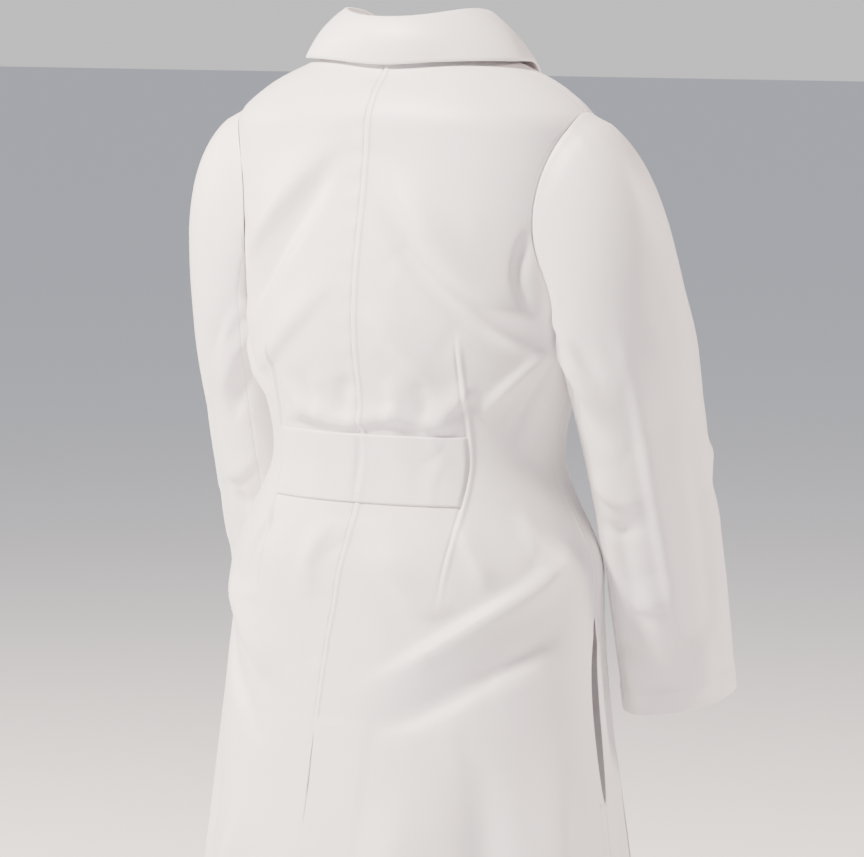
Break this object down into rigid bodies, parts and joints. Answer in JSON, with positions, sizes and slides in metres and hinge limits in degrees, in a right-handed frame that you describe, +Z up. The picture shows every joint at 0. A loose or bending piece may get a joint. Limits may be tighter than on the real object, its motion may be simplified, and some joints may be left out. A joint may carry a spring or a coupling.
{
  "type": "lab coat",
  "caption": "Knee-length women's lab coat in its worn shape, with a half belt sewn into the back darts, centre vent, side slits, collar, sleeves and patch pockets.",
  "frame": {"origin": "middle of the neck opening, level with the nape seam", "axes": "+Z up, -Y to the front, +X to the wearer's left"},
  "size_m": [0.5794, 0.3714, 1.0211],
  "materials": {
    "poplin": "smooth white polyester-cotton poplin with a soft sheen",
    "poplin_facing": "inner side of the white poplin",
    "button_plastic": "moulded white button plastic",
    "twill_tape": "white twill tape",
    "label_satin": "blank white satin ribbon"
  },
  "bodies": {
    "coat_body": {"back_left": "poplin", "side_front_left": "poplin", "front_yoke_left": "poplin", "slit_facing_left": "poplin_facing", "back_right": "poplin", "side_front_right": "poplin", "front_yoke_right": "poplin", "slit_facing_right": "poplin_facing", "back_belt": "poplin", "vent_facing": "poplin_facing", "vent_underlap": "poplin", "collar_stand": "poplin", "under_collar": "poplin_facing", "top_collar": "poplin", "neck_facing": "poplin_facing", "size_label": "label_satin"},
    "left_sleeve": {"upper_sleeve_left": "poplin", "under_sleeve_left": "poplin"},
    "right_sleeve": {"upper_sleeve_right": "poplin", "under_sleeve_right": "poplin"},
    "left_front": {"centre_front_left": "poplin", "front_facing_left": "poplin_facing", "lower_pocket_left": "poplin", "chest_pocket": "poplin", "button_1": "button_plastic", "button_2": "button_plastic", "button_3": "button_plastic", "button_4": "button_plastic", "button_5": "button_plastic"},
    "right_front": {"centre_front_right": "poplin", "front_facing_right": "poplin_facing", "lower_pocket_right": "poplin"},
    "neck_loop": {"hanger_loop": "twill_tape"}
  },
  "joints": [
    {"name": "left_sleeve_raise", "type": "hinge", "parent": "coat_body", "child": "left_sleeve", "pos_m": [0.2, 0, -0.042], "axis": [0, -1, 0], "range_deg": [0, 40]},
    {"name": "right_sleeve_raise", "type": "hinge", "parent": "coat_body", "child": "right_sleeve", "pos_m": [-0.2, 0, -0.042], "axis": [0, 1, 0], "range_deg": [0, 40]},
    {"name": "left_front_open", "type": "hinge", "parent": "coat_body", "child": "left_front", "pos_m": [0.135, -0.075, -0.119], "axis": [-0.0644, -0.0644, 0.9958], "range_deg": [0, 25]},
    {"name": "right_front_open", "type": "hinge", "parent": "coat_body", "child": "right_front", "pos_m": [-0.135, -0.075, -0.119], "axis": [-0.076, 0.0643, -0.995], "range_deg": [0, 15]},
    {"name": "hanger_loop_flip", "type": "hinge", "parent": "coat_body", "child": "neck_loop", "pos_m": [0, 0.06, -0.0095], "axis": [-1, 0, 0], "range_deg": [0, 120]}
  ]
}
